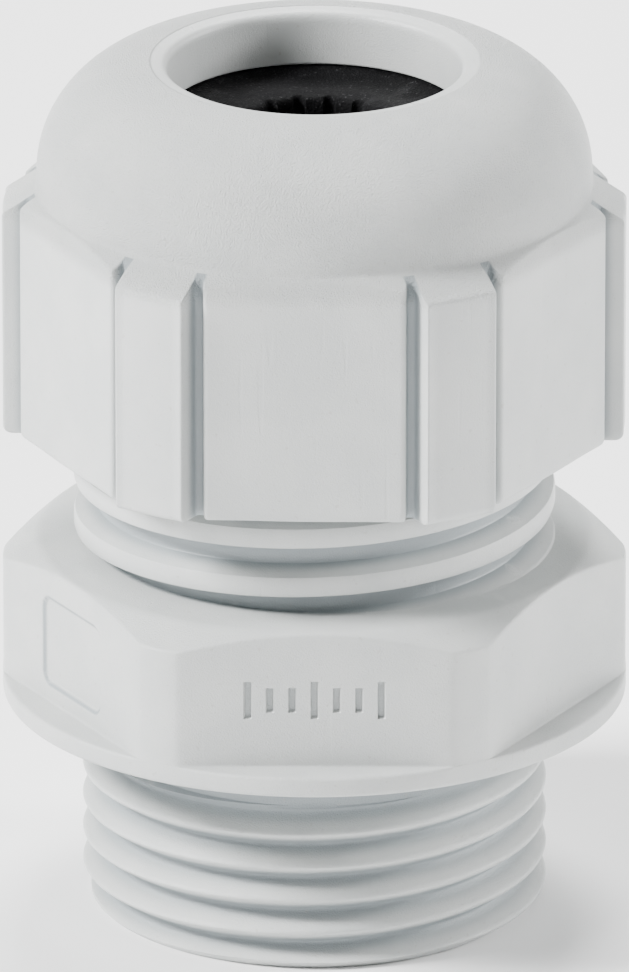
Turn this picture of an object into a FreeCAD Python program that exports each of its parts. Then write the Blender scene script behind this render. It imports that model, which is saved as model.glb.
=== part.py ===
import FreeCAD, Part
import math
import os
import re
import Sketcher

# An M20 cable gland in light grey polyamide, standing on the end of its connection thread.
# Origin: centre of the connection thread's end face. +Z is up, towards the cable opening.
# Sketches in the XZ plane are half sections or teeth, those in the XY plane are plans.

# Driving sizes in millimetres and degrees. Everything else is an expression of these.
SIZES = {
    # connection thread, M20 x 1.5
    "thread_major": 20.0,
    "thread_pitch": 1.5,
    "thread_length": 9.3,
    "thread_crest": 0.2,
    "thread_flank_angle": 30.0,
    "thread_depth": 0.92,
    "thread_phase": 2.125,
    "thread_end_chamfer": 0.45,
    "thread_relief": 2.05,
    # flange and hexagon
    "flange_rim": 0.05,
    "flange_height": 0.9,
    "flange_edge": 0.2,
    "hex_across": 24.0,
    "hex_corner_rise": 1.35,
    "hex_height": 6.05,
    "hex_top_inset": 0.15,
    "hex_top_drop": 0.9,
    "panel_width": 5.2,
    "panel_height": 4.3,
    "panel_depth": 0.15,
    "panel_corner": 0.7,
    "panel_drop": 0.3,
    "tick_count": 7,
    "tick_step": 0.95,
    "tick_width": 0.35,
    "tall_tick": 1.7,
    "short_tick": 1.13,
    "tick_depth": 0.2,
    # neck with the coarse thread for the cap nut
    "neck_pitch": 2.2,
    "neck_tooth": 1.0,
    "neck_crest_width": 0.85,
    "neck_flank_width": 0.35,
    "neck_phase": 4.2,
    "neck_height": 9.05,
    "neck_lead_in": 0.8,
    # passage through the body
    "body_bore": 13.2,
    "bore_lead_in": 0.5,
    "seat_width": 1.3025,
    "seat_depth": 1.0,
    # cap nut
    "nut_gap": 5.0,
    "nut_height": 16.5,
    "nut_wall": 1.55,
    "nut_turn": -2.0,
    "rib_rise": 1.3,
    "rib_width": 3.33,
    "groove_width": 0.373,
    "groove_depth": 0.61,
    "rib_top_drop": 6.45,
    "dome_inset": 0.15,
    "dome_foot_drop": 5.1,
    "dome_round": 4.95,
    "opening_inset": 0.32,
    "opening_round": 0.6,
    "lip_thickness": 2.45,
    "cone_angle": 13.0,
    "relief_length": 1.7,
    "nut_lead_in": 0.5,
    # travel of the nut from where it stands
    "tight_travel": 2.2,
    "open_travel": 4.4,
    # clamping fingers
    "finger_count": 12,
    "finger_thickness": 1.14,
    "finger_base_gap": 1.0459,
    "finger_side_gap": 0.4052,
    "finger_lean": 9.0,
    "finger_tip_gap": 0.8,
    "finger_tip_chamfer": 0.25,
    "hinge_rise": 0.3,
    # rubber insert
    "seal_hole": 5.8,
    "seal_hole_mouth": 8.4,
    "seal_mouth_height": 2.6,
    "seal_groove_count": 14,
    "seal_groove": 0.5,
    "seal_edge": 0.35,
    # clearances
    "thread_clearance": 0.13,
    "flank_clearance": 0.1,
    "hinge_clearance": 0.03,
    "finger_clearance": 0.21,
    "cone_clearance": 0.16,
    "seal_clearance": 0.1,
    "relief_clearance": 0.25,
}

SHEET = "Sizes"
BEYOND = 3.0          # how far a cut runs past the material
ROOT_OVERLAP = 0.1    # how far a thread's ridge is sunk into its core
SIXTH = 60            # degrees from one flat of a hexagon to the next

document = FreeCAD.newDocument("cable_gland")
sheet = document.addObject("Spreadsheet::Sheet", SHEET)
for row, (alias, size) in enumerate(SIZES.items(), start=1):
    sheet.set("A%d" % row, alias)
    sheet.set("B%d" % row, "%g" % size)
    sheet.setAlias("B%d" % row, alias)
document.recompute()


def bound(text):
    """Expression text with every size name pointed at its cell."""
    return re.sub(r"[a-z_]+", lambda word: SHEET + "." + word[0] if word[0] in SIZES else word[0], text)


def value(text):
    """Number that an expression of the sizes has now."""
    return float(sheet.evalExpression(bound(text)))


def part(name):
    body = document.addObject("PartDesign::Body", name)
    body.Label = name
    return body


def origin_feature(body, role):
    return next(feature for feature in body.Origin.OriginFeatures if feature.Role == role)


def sketch_on(body, name, plane="XZ_Plane", lift=None):
    """Empty sketch on one of the body's own planes, lifted along the plane's normal."""
    sketch = body.newObject("Sketcher::SketchObject", name)
    sketch.AttachmentSupport = [(origin_feature(body, plane), "")]
    sketch.MapMode = "FlatFace"
    if lift:
        sketch.setExpression("AttachmentOffset.Base.z", bound(lift))
    return sketch


def pin(sketch, edge, end, across, up):
    """Hold one end of an edge at a place given by two expressions."""
    for kind, axis, text in (("DistanceX", -2, across), ("DistanceY", -1, up)):
        if text == "0":
            sketch.addConstraint(Sketcher.Constraint("PointOnObject", edge, end, axis))
        else:
            number = sketch.addConstraint(Sketcher.Constraint(kind, -1, 1, edge, end, value(text)))
            sketch.setExpression("Constraints[%d]" % number, bound(text))


def arc_between(start, end, radius, bulge):
    """Arc from start to end whose middle lies to the right (bulge 1) or left (-1) of the way."""
    chord = end - start
    middle = (start + end) * 0.5
    side = FreeCAD.Vector(chord.y, -chord.x, 0).normalize() * bulge
    depth = radius - math.sqrt(radius ** 2 - (chord.Length / 2) ** 2)
    return Part.Arc(start, middle + side * depth, end)


def outline(sketch, points):
    """Closed outline. A point is (across, up), or (across, up, radius, bulge) where the edge that
    leaves it is an arc. Every coordinate and radius is bound to the sheet."""
    first = sketch.GeometryCount
    places = [FreeCAD.Vector(value(point[0]), value(point[1]), 0) for point in points]
    count = len(points)
    for number, point in enumerate(points):
        start = places[number]
        end = places[(number + 1) % count]
        if len(point) == 2:
            sketch.addGeometry(Part.LineSegment(start, end), False)
        else:
            sketch.addGeometry(arc_between(start, end, value(point[2]), point[3]), False)
    # an arc is stored counter-clockwise, so its ends are swapped where it bulges to the left
    ends = [(2, 1) if len(point) == 4 and point[3] < 0 else (1, 2) for point in points]
    for number, point in enumerate(points):
        edge = first + number
        following = first + (number + 1) % count
        sketch.addConstraint(Sketcher.Constraint(
            "Coincident", edge, ends[number][1], following, ends[(number + 1) % count][0]))
        pin(sketch, edge, ends[number][0], point[0], point[1])
        if len(point) == 4:
            radius = sketch.addConstraint(Sketcher.Constraint("Radius", edge, value(point[2])))
            sketch.setExpression("Constraints[%d]" % radius, bound(point[2]))


def feature(body, kind, name, profile, **settings):
    """PartDesign feature of a profile; a setting given as text is bound to the sheet."""
    made = body.newObject("PartDesign::" + kind, name)
    made.Profile = profile
    for setting, given in settings.items():
        if isinstance(given, str) and setting != "Type":
            made.setExpression(setting, bound(given))
        else:
            setattr(made, setting, given)
    body.Tip = made
    document.recompute()
    return made


def turned(body, name, points, cut=False):
    """Solid of revolution about Z, added or cut, from a half section in the XZ plane."""
    sketch = sketch_on(body, name + "_section")
    outline(sketch, points)
    return feature(body, "Groove" if cut else "Revolution", name, sketch,
                   ReferenceAxis=(sketch, ["V_Axis"]), Angle=360.0)


def repeated(body, name, original, count):
    """Polar pattern about Z."""
    pattern = body.newObject("PartDesign::PolarPattern", name)
    pattern.Originals = [original]
    pattern.Axis = (origin_feature(body, "Z_Axis"), [""])
    pattern.Angle = 360.0
    pattern.setExpression("Occurrences", bound(count))
    body.Tip = pattern
    document.recompute()
    return pattern


def thread(body, name, tooth, pitch, height, cut=False):
    """Right-hand helical ridge or groove from a tooth outline in the XZ plane."""
    sketch = sketch_on(body, name + "_tooth")
    outline(sketch, tooth)
    return feature(body, "SubtractiveHelix" if cut else "AdditiveHelix", name, sketch,
                   ReferenceAxis=(sketch, ["V_Axis"]), Mode=0, Pitch=pitch, Height=height, Angle=0.0)


# Heights of the stack, from the end of the connection thread upwards.
flange_top = "(thread_length + flange_height)"
hex_top = "(thread_length + flange_height + hex_height)"
neck_top = "(%s + neck_height)" % hex_top
seat = "(%s - seat_depth)" % neck_top
nut_bottom = "(%s + nut_gap)" % hex_top
nut_top = "(%s + nut_height)" % nut_bottom
lip_under = "(%s - lip_thickness)" % nut_top

# Rings round the bore: the seat, the fingers that stand outside it, the neck and the nut's walls.
heel_inside = "(body_bore / 2 + seat_width)"
finger_face = "(%s + finger_thickness)" % heel_inside
hinge_radius = "(%s + finger_thickness / 2)" % heel_inside
finger_base_width = "(2 * %s * tan(180 / finger_count) - finger_base_gap)" % finger_face
nut_minor = "(sqrt(%s^2 + (%s / 2)^2) + finger_clearance)" % (finger_face, finger_base_width)
neck_root = "(%s - thread_clearance)" % nut_minor
neck_crest = "(%s + neck_tooth)" % neck_root
nut_major = "(%s + thread_clearance)" % neck_crest
nut_flat = "(%s + nut_wall)" % nut_major
rib_circle = "(%s + rib_rise)" % nut_flat
dome_foot = "(%s - dome_inset)" % nut_flat
opening = "(body_bore / 2 - opening_inset)"

# Connection side: thread core, hexagon's corners and flange.
thread_root = "(thread_major / 2 - thread_depth)"
hex_corner = "(hex_across / 2 + hex_corner_rise)"
hex_top_circle = "(hex_across / 2 - hex_top_inset)"
flange_edge_circle = "(%s + flange_rim)" % hex_corner
neck_start = "(%s - neck_pitch + neck_phase - neck_pitch)" % hex_top
relief_top = "(%s + tight_travel + relief_clearance)" % neck_top

# Fingers: flat plates that stand in a ring, each turning about a line across its base.
hinge_height = "(%s + hinge_rise)" % neck_top
finger_length = "(%s - tight_travel - finger_tip_gap - %s)" % (lip_under, hinge_height)
tight_lean = "(finger_lean * (open_travel + tight_travel) / open_travel)"
tip_inside_tight = "(%s - finger_thickness / 2 * cos(%s) - %s * sin(%s))" % (
    hinge_radius, tight_lean, finger_length, tight_lean)
finger_tip_width = "(2 * %s * tan(180 / finger_count) - finger_side_gap)" % tip_inside_tight
tip_out = "(%s + finger_thickness / 2 * cos(finger_lean) - %s * sin(finger_lean))" % (
    hinge_radius, finger_length)
tip_corner = "sqrt(%s^2 + (%s / 2)^2)" % (tip_out, finger_tip_width)
tip_height = "(%s + %s * cos(finger_lean) + finger_thickness / 2 * sin(finger_lean))" % (
    hinge_height, finger_length)


def cone_at(height):
    """Radius of the nut's inner cone, which passes the finger tips with a clearance."""
    return "(%s + cone_clearance - tan(cone_angle) * (%s - %s))" % (tip_corner, height, tip_height)


def gland_body():
    """Connection thread, flange, hexagon and neck in one moulding, with the cable passage."""
    body = part("gland_body")
    turned(body, "envelope", [
        ("0", "0"),
        (thread_root, "0"),
        (thread_root, "thread_length"),
        (flange_edge_circle + " - flange_edge", "thread_length"),
        (flange_edge_circle, "thread_length + flange_edge"),
        (flange_edge_circle, flange_top + " - flange_edge"),
        (hex_corner, flange_top),
        (hex_corner, hex_top + " - hex_top_drop"),
        (hex_top_circle, hex_top),
        (neck_root, hex_top),
        (neck_root, neck_top),
        ("0", neck_top),
    ])

    # six flats, cut down to the flange; the corners between them stay round
    flat = sketch_on(body, "flat_plan", "XY_Plane", flange_top)
    outline(flat, [
        ("-" + hex_corner, "-hex_across / 2"),
        ("-" + hex_corner, "-%s - %g" % (hex_corner, BEYOND)),
        (hex_corner, "-%s - %g" % (hex_corner, BEYOND)),
        (hex_corner, "-hex_across / 2"),
    ])
    flat_cut = feature(body, "Pocket", "flat", flat, Reversed=True, Length="hex_height")
    repeated(body, "flats", flat_cut, "6")

    # connection thread: 60 degree ridge that starts below the end face and stops short of the flange,
    # so that the flange's underside is free to seal
    flank = "(thread_depth * tan(thread_flank_angle))"
    sunk = "(%g * tan(thread_flank_angle))" % ROOT_OVERLAP
    start = "(thread_phase - 2 * thread_pitch)"
    thread(body, "connection_thread", [
        ("%s - %g" % (thread_root, ROOT_OVERLAP), "%s - thread_crest / 2 - %s - %s" % (start, flank, sunk)),
        ("thread_major / 2", start + " - thread_crest / 2"),
        ("thread_major / 2", start + " + thread_crest / 2"),
        ("%s - %g" % (thread_root, ROOT_OVERLAP), "%s + thread_crest / 2 + %s + %s" % (start, flank, sunk)),
    ], "thread_pitch", "thread_length - thread_relief - thread_crest / 2 - %s - %s" % (flank, start))
    turned(body, "thread_end", [
        ("thread_major / 2 - thread_end_chamfer", "0"),
        ("thread_major / 2 + %g" % BEYOND, "thread_end_chamfer + %g" % BEYOND),
        ("thread_major / 2 + %g" % BEYOND, "-2 * thread_pitch - %g" % BEYOND),
        ("0", "-2 * thread_pitch - %g" % BEYOND),
        ("0", "0"),
    ], cut=True)

    # neck thread: coarse trapezoid that grows out of the hexagon's top
    slope = "(neck_flank_width / neck_tooth * %g)" % ROOT_OVERLAP
    inner = "%s - %g" % (neck_root, ROOT_OVERLAP)
    half_root = "(neck_crest_width / 2 + neck_flank_width + %s)" % slope
    thread(body, "neck_thread", [
        (inner, "%s - %s" % (neck_start, half_root)),
        (neck_crest, neck_start + " - neck_crest_width / 2"),
        (neck_crest, neck_start + " + neck_crest_width / 2"),
        (inner, "%s + %s" % (neck_start, half_root)),
    ], "neck_pitch", "neck_height + 2 * neck_pitch")
    turned(body, "neck_end", [
        ("0", neck_top),
        (neck_crest + " - neck_lead_in", neck_top),
        ("%s + %g" % (neck_crest, BEYOND), "%s - neck_lead_in - %g" % (neck_top, BEYOND)),
        ("%s + %g" % (neck_crest, BEYOND), "%s + 3 * neck_pitch + %g" % (neck_top, BEYOND)),
        ("0", "%s + 3 * neck_pitch + %g" % (neck_top, BEYOND)),
    ], cut=True)

    # cable passage with a lead-in below and the rubber insert's seat above
    turned(body, "passage", [
        ("0", "-%g" % BEYOND),
        ("body_bore / 2 + bore_lead_in + %g" % BEYOND, "-%g" % BEYOND),
        ("body_bore / 2", "bore_lead_in"),
        ("body_bore / 2", seat),
        (heel_inside, seat),
        (heel_inside, "%s + %g" % (neck_top, BEYOND)),
        ("0", "%s + %g" % (neck_top, BEYOND)),
    ], cut=True)

    # a round socket across the neck's top for each finger's heel
    socket = sketch_on(body, "socket_section")
    heel = "finger_thickness / 2 + hinge_clearance"
    circle(socket, hinge_radius, hinge_height, heel)
    socket_cut = feature(body, "Pocket", "socket", socket, Midplane=True,
                         Length=finger_base_width + " + 2 * hinge_clearance")
    repeated(body, "sockets", socket_cut, "finger_count")

    side_panel(body)
    size_ticks(body)
    return body


def circle(sketch, across, up, radius):
    ring = Part.Circle(FreeCAD.Vector(value(across), value(up), 0), FreeCAD.Vector(0, 0, 1), value(radius))
    sketch.addGeometry(ring, False)
    edge = sketch.GeometryCount - 1
    pin(sketch, edge, 3, across, up)
    number = sketch.addConstraint(Sketcher.Constraint("Radius", edge, value(radius)))
    sketch.setExpression("Constraints[%d]" % number, bound(radius))


def side_panel(body):
    """Shallow round-cornered panel on the flat beside the front one."""
    panel = sketch_on(body, "panel_outline")
    turn = FreeCAD.Rotation(FreeCAD.Vector(0, 1, 0), -SIXTH)
    out = turn.multVec(FreeCAD.Vector(0, 0, value("hex_across / 2")))
    panel.AttachmentOffset = FreeCAD.Placement(out, turn)
    low = "%s + (hex_height - panel_height) / 2 - panel_drop" % flange_top
    high = "%s + panel_height" % low
    side = "panel_width / 2"
    inset = side + " - panel_corner"
    outline(panel, [
        ("-(%s)" % inset, low),
        (inset, low, "panel_corner", 1),
        (side, low + " + panel_corner"),
        (side, high + " - panel_corner", "panel_corner", 1),
        (inset, high),
        ("-(%s)" % inset, high, "panel_corner", 1),
        ("-(%s)" % side, high + " - panel_corner"),
        ("-(%s)" % side, low + " + panel_corner", "panel_corner", 1),
    ])
    feature(body, "Pocket", "panel", panel, Length="panel_depth")


def size_ticks(body):
    """Row of plain upright bars sunk in the front flat, the middle and end ones taller."""
    ticks = sketch_on(body, "tick_outlines", "XZ_Plane", "hex_across / 2")
    count = int(value("tick_count"))
    middle = "(%s + hex_height / 2)" % flange_top
    for number in range(count):
        offset = number - (count - 1) // 2
        tall = "tall_tick / 2" if offset % ((count - 1) // 2) == 0 else "short_tick / 2"
        left = "%d * tick_step - tick_width / 2" % offset
        right = "%d * tick_step + tick_width / 2" % offset
        outline(ticks, [
            (left, "%s - %s" % (middle, tall)),
            (right, "%s - %s" % (middle, tall)),
            (right, "%s + %s" % (middle, tall)),
            (left, "%s + %s" % (middle, tall)),
        ])
    feature(body, "Pocket", "ticks", ticks, Length="tick_depth")


def cap_nut():
    """Domed six-sided nut with a rib at each corner, its inner thread and its clamping cone."""
    body = part("cap_nut")
    turned(body, "envelope", [
        ("0", nut_bottom),
        (rib_circle, nut_bottom),
        (rib_circle, nut_top + " - rib_top_drop"),
        (dome_foot, nut_top + " - dome_foot_drop"),
        (dome_foot, nut_top + " - dome_round", "dome_round", 1),
        (dome_foot + " - dome_round", nut_top),
        ("0", nut_top),
    ])

    # one flat with the groove at each end of it; what is left between two flats is a rib
    flat = sketch_on(body, "flat_plan", "XY_Plane", nut_bottom)
    corner = SIXTH / 2
    rib_edge_along = "(%s * sin(%g) - rib_width / 2 * cos(%g))" % (rib_circle, corner, corner)
    rib_edge_out = "(%s * cos(%g) + rib_width / 2 * sin(%g))" % (rib_circle, corner, corner)
    floor = "(%s - groove_depth)" % nut_flat
    rib_foot_along = "(%s - (%s - %s) * tan(%g))" % (rib_edge_along, rib_edge_out, floor, corner)
    flat_end = "(%s - groove_width)" % rib_foot_along
    past_along = "(%s + %g * tan(%g))" % (rib_edge_along, BEYOND, corner)
    past_out = "(%s + %g)" % (rib_edge_out, BEYOND)
    outline(flat, [
        ("-" + flat_end, "-" + floor),
        ("-" + flat_end, "-" + nut_flat),
        (flat_end, "-" + nut_flat),
        (flat_end, "-" + floor),
        (rib_foot_along, "-" + floor),
        (past_along, "-" + past_out),
        ("-" + past_along, "-" + past_out),
        ("-" + rib_foot_along, "-" + floor),
    ])
    flat_cut = feature(body, "Pocket", "flat", flat, Reversed=True, Length="nut_height")
    repeated(body, "flats", flat_cut, "6")

    # cavity: lead-in, thread bore, run-out, cone over the finger tips, lip and opening
    turned(body, "cavity", [
        ("0", "%s - %g" % (nut_bottom, BEYOND)),
        ("%s + nut_lead_in + %g" % (nut_major, BEYOND), "%s - %g" % (nut_bottom, BEYOND)),
        (nut_minor, "%s + %s - %s + nut_lead_in" % (nut_bottom, nut_major, nut_minor)),
        (nut_minor, relief_top + " - relief_length"),
        (nut_major, relief_top + " - relief_length"),
        (nut_major, relief_top),
        (cone_at(relief_top), relief_top),
        (cone_at(lip_under), lip_under),
        (opening, lip_under),
        (opening, nut_top + " - opening_round", "opening_round", -1),
        (opening + " + opening_round", nut_top),
        (opening + " + opening_round", "%s + %g" % (nut_top, BEYOND)),
        ("0", "%s + %g" % (nut_top, BEYOND)),
    ], cut=True)

    # inner thread: the neck's ridge with clearance all round, in step with it
    start = "(%s + 2 * neck_pitch + neck_pitch * nut_turn / 360)" % neck_start
    inner = "%s - %g" % (nut_minor, ROOT_OVERLAP)
    slope = "(neck_flank_width / neck_tooth)"
    half_outer = "(neck_crest_width / 2 + flank_clearance - %s * thread_clearance)" % slope
    half_inner = "(%s + neck_flank_width + %s * %g)" % (half_outer, slope, ROOT_OVERLAP)
    thread(body, "inner_thread", [
        (inner, "%s - %s" % (start, half_inner)),
        (nut_major, "%s - %s" % (start, half_outer)),
        (nut_major, "%s + %s" % (start, half_outer)),
        (inner, "%s + %s" % (start, half_inner)),
    ], "neck_pitch", "%s - %s - flank_clearance / 2 - %s" % (relief_top, half_outer, start), cut=True)
    body.Placement = FreeCAD.Placement(
        FreeCAD.Vector(), FreeCAD.Rotation(FreeCAD.Vector(0, 0, 1), value("nut_turn")))
    return body


def seal_insert():
    """Rubber insert: foot on the seat, body inside the fingers, collar between tips and lip."""
    body = part("seal_insert")
    collar_low = "(%s + seal_clearance)" % tip_height
    top = "(%s - seal_clearance / 2)" % lip_under
    collar = "(%s - seal_clearance)" % cone_at(lip_under)
    foot = "(%s - seal_clearance)" % heel_inside
    neck = "(%s - seal_clearance)" % tip_inside_tight
    turned(body, "profile", [
        ("seal_hole_mouth / 2", seat),
        (foot, seat),
        (foot, hinge_height),
        (neck, collar_low + " - seal_edge"),
        (neck, collar_low),
        (collar, collar_low),
        (collar, top + " - seal_edge"),
        (collar + " - seal_edge", top),
        ("seal_hole / 2 + seal_edge", top),
        ("seal_hole / 2", top + " - seal_edge"),
        ("seal_hole / 2", seat + " + seal_mouth_height"),
    ])

    # upright grooves round the hole, which let it close without folding
    groove = sketch_on(body, "groove_plan", "XY_Plane", seat)
    circle(groove, "seal_hole / 2", "0", "seal_groove / 2")
    groove_cut = feature(body, "Pocket", "groove", groove, Reversed=True, Type="ThroughAll")
    repeated(body, "grooves", groove_cut, "seal_groove_count")
    return body


def lamella(number):
    """One clamping finger, drawn upright about its hinge line, then leant inwards and set round."""
    body = part("lamella_%02d" % (number + 1))
    half = "finger_thickness / 2"
    profile = sketch_on(body, "profile_%02d" % (number + 1))
    outline(profile, [
        ("-" + half, "0", half, 1),
        ("0", "-" + half, half, 1),
        (half, "0"),
        (half, finger_length + " - finger_tip_chamfer"),
        (half + " - finger_tip_chamfer", finger_length),
        ("-" + half, finger_length),
    ])
    feature(body, "Pad", "plate_%02d" % (number + 1), profile, Midplane=True, Length=finger_base_width)

    # both sides taper, so that the tips clear each other when they close
    sides = sketch_on(body, "taper_%02d" % (number + 1), "YZ_Plane")
    past = "(%s / 2 + %g)" % (finger_base_width, BEYOND)
    for sign in ("", "-"):
        outline(sides, [
            ("%s%s / 2" % (sign, finger_base_width), half),
            ("%s%s / 2" % (sign, finger_tip_width), finger_length),
            ("%s%s / 2" % (sign, finger_tip_width), "%s + %g" % (finger_length, BEYOND)),
            (sign + past, "%s + %g" % (finger_length, BEYOND)),
            (sign + past, half),
        ])
    feature(body, "Pocket", "tapered_%02d" % (number + 1), sides, Midplane=True,
            Length="2 * finger_thickness")
    around = FreeCAD.Rotation(FreeCAD.Vector(0, 0, 1), 360.0 * number / value("finger_count"))
    lean = FreeCAD.Rotation(FreeCAD.Vector(0, 1, 0), -value("finger_lean"))
    place = around.multVec(FreeCAD.Vector(value(hinge_radius), 0, value(hinge_height)))
    body.Placement = FreeCAD.Placement(place, around.multiply(lean))
    return body


parts = [gland_body(), cap_nut(), seal_insert()]
parts += [lamella(number) for number in range(int(value("finger_count")))]
document.recompute()

for made in document.Objects:
    if {"Invalid", "Error"} & set(made.State):
        raise RuntimeError("%s is %s" % (made.Label, made.State))
for made in parts:
    if made.Shape.isNull() or not made.Shape.isValid() or len(made.Shape.Solids) != 1:
        raise RuntimeError("%s is not one valid solid" % made.Label)

os.makedirs("parts", exist_ok=True)
for made in parts:
    made.Shape.exportStep(os.path.join("parts", made.Label + ".step"))
    print("%-12s %9.2f mm3" % (made.Label, made.Shape.Volume))
print("hinge radius %.4f height %.4f, finger length %.3f, tips at %.3f" % (
    value(hinge_radius), value(hinge_height), value(finger_length), value(tip_height)))
print("neck top %.3f, nut bottom %.3f, top %.3f, lip under %.3f, seat %.3f" % (
    value(neck_top), value(nut_bottom), value(nut_top), value(lip_under), value(seat)))
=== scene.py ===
import bmesh
import bpy
import math
import numpy as np
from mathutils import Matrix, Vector


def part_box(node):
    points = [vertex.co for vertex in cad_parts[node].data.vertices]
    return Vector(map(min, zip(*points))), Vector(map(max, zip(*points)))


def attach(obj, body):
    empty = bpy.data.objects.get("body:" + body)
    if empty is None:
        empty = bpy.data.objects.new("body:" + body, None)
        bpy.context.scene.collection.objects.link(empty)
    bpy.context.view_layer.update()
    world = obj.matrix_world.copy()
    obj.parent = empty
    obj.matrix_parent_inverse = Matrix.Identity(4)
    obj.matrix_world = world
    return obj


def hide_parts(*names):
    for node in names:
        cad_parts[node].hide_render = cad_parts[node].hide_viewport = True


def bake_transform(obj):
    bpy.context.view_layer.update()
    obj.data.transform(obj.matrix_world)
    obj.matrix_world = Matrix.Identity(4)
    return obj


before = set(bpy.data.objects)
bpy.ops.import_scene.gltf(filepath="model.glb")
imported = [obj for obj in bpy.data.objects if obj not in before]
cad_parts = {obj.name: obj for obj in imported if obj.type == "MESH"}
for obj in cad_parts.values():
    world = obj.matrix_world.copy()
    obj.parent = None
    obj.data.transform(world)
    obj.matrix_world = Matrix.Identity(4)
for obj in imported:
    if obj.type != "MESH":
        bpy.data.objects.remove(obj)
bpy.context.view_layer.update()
print("frame loaded:", sorted(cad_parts))

# Lengths below are in millimetres and become metres when a mesh is made. Angles in settings are in degrees.
mm = 0.001
frontAzimuth = -90.0   # the tick marks' flat faces this way
sixth = 60.0           # from one flat of a hexagon to the next
facing = 0.9           # cosine above which a direction belongs to one flat
cutShare = 0.45        # most of an edge that one rounded corner may take
mergeDistance = 2e-6   # metres; points closer than this become one
tiny = 1e-9            # keeps an edge of no length from dividing by zero

# Angle from the middle of the nearest of six flats, from minus to plus half of a sixth of a turn.
def fromFlat(angle, azimuth):
    turn = math.radians(sixth)
    return (angle - math.radians(azimuth) + turn / 2) % turn - turn / 2

# True where a direction lies on the flat that faces the azimuth.
def onFlat(angle, azimuth):
    return np.cos(angle - math.radians(azimuth)) > facing

# Tooth of a screw thread. The radius falls from the crest to the root on a ramp with soft ends:
# ramp(t) = soft(t) - soft(t - 1), soft(t) = (t + sqrt(t*t + e*e)) / 2, t = distance past the crest's edge
# over the flank's width.
def toothRadius(distance, thread):
    t = (distance - thread["crestWidth"] / 2) / thread["flank"]
    e = thread["softness"]
    ramp = (t + np.hypot(t, e)) / 2 - (t - 1 + np.hypot(t - 1, e)) / 2
    return thread["crest"] - thread["depth"] * ramp

# Right-hand helix: a ridge stands at height start + pitch * (angle / turn + any whole number).
def threadRadius(height, angle, thread):
    along = (height - thread["start"]) / thread["pitch"] - angle / (2 * math.pi)
    distance = np.abs(along - np.round(along)) * thread["pitch"]
    return toothRadius(distance, thread)

# 0 at a thread's crest and 1 at its root
def threadHollow(radius, thread):
    return np.clip((thread["crest"] - radius) / thread["depth"], 0, 1)

# Rows of one pitch, as distances above a ridge's middle, close together where the tooth bends. Steps are
# shares of half the crest, and past its edge shares of the flank.
toothSteps = {"crest": (0, 0.6, 1), "flank": (0.15, 0.4, 0.7, 1, 1.2)}

def toothRows(thread):
    half = thread["crestWidth"] / 2
    up = np.concatenate([half * np.array(toothSteps["crest"]),
                         half + thread["flank"] * np.array(toothSteps["flank"])])
    up = up[up < thread["pitch"] / 2]
    return np.concatenate([up, [thread["pitch"] / 2], thread["pitch"] - up[:0:-1]])

# Quadratic curve round a corner: (1 - t)^2 * start + 2 t (1 - t) * corner + t^2 * end, t from 0 to 1.
def bend(t, start, corner, end):
    return (1 - t) ** 2 * start + 2 * t * (1 - t) * corner + t ** 2 * end

# Outline through corners of (radius, height, cut), worked out for every column at once. A corner with a cut
# becomes a quadratic curve from that far before it to that far after it, or cutShare of an edge if less.
def roundedPath(columns, corners, steps=5):
    r, z = (np.array([np.broadcast_to(corner[q], columns) for corner in corners], float) for q in (0, 1))
    rows = []
    t = np.linspace(0, 1, steps)[:, None]
    for i, corner in enumerate(corners):
        cut = corner[2]
        if not cut or i in (0, len(corners) - 1):
            rows.append(np.array([[r[i], z[i]]]))
            continue
        ends = []
        for k in (i - 1, i + 1):
            dr, dz = r[k] - r[i], z[k] - z[i]
            length = np.maximum(np.hypot(dr, dz), tiny)
            share = np.minimum(cut, cutShare * length) / length
            ends.append((r[i] + dr * share, z[i] + dz * share))
        (startR, startZ), (endR, endZ) = ends
        rows.append(np.stack([bend(t, startR, r[i], endR), bend(t, startZ, z[i], endZ)], axis=1))
    return np.concatenate(rows)

# Rows like those of roundedPath, from radii and heights that spread over rows and columns.
def outlineRows(columns, radius, height):
    radius, height, _ = np.broadcast_arrays(radius, height, np.zeros((1, columns)))
    return np.stack([radius, height], axis=1)

# Quads between neighbouring rows and columns of a grid whose columns close round the axis.
def gridFaces(rows, columns, closeRows=False):
    i = np.arange(rows if closeRows else rows - 1)[:, None]
    j = np.arange(columns)[None, :]
    up = (i + 1) % rows
    right = (j + 1) % columns
    faces = np.stack([i * columns + j, i * columns + right, up * columns + right, up * columns + j], axis=-1)
    return faces.reshape(-1, 4)

# Skewed grid for a thread between two heights. A row's height is start + pitch * (a whole number +
# angle / turn) + its distance above the ridge's middle, held between low and high, so rows follow the ridge,
# and at the seam each row joins the row one pitch further on. The radius is the smaller of the tooth's and
# the ceiling's at that height.
def threadGrid(angle, thread, low, high, ceiling):
    rowsOfPitch = toothRows(thread)
    count = len(rowsOfPitch)
    pitch = thread["pitch"]
    first = math.floor((low - thread["start"]) / pitch) - 1
    last = math.ceil((high - thread["start"]) / pitch) + 1
    turns = np.arange(first, last + 1)
    base = (thread["start"] + pitch * turns[:, None] + rowsOfPitch[None, :]).ravel()
    height = base[:, None] + pitch * angle[None, :] / (2 * math.pi)
    height = np.clip(height, low, high)
    radius = np.minimum(threadRadius(height, angle, thread), ceiling(height))
    rows, columns = height.shape
    i = np.arange(rows - 1)[:, None]
    j = np.arange(columns)[None, :]
    right = (j + 1) % columns
    shift = np.where(j == columns - 1, count, 0)
    lower = np.minimum(i + shift, rows - 1)
    upper = np.minimum(i + 1 + shift, rows - 1)
    faces = np.stack(np.broadcast_arrays(
        i * columns + j, lower * columns + right, upper * columns + right, (i + 1) * columns + j), axis=-1)
    return radius, height, faces.reshape(-1, 4)

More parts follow.
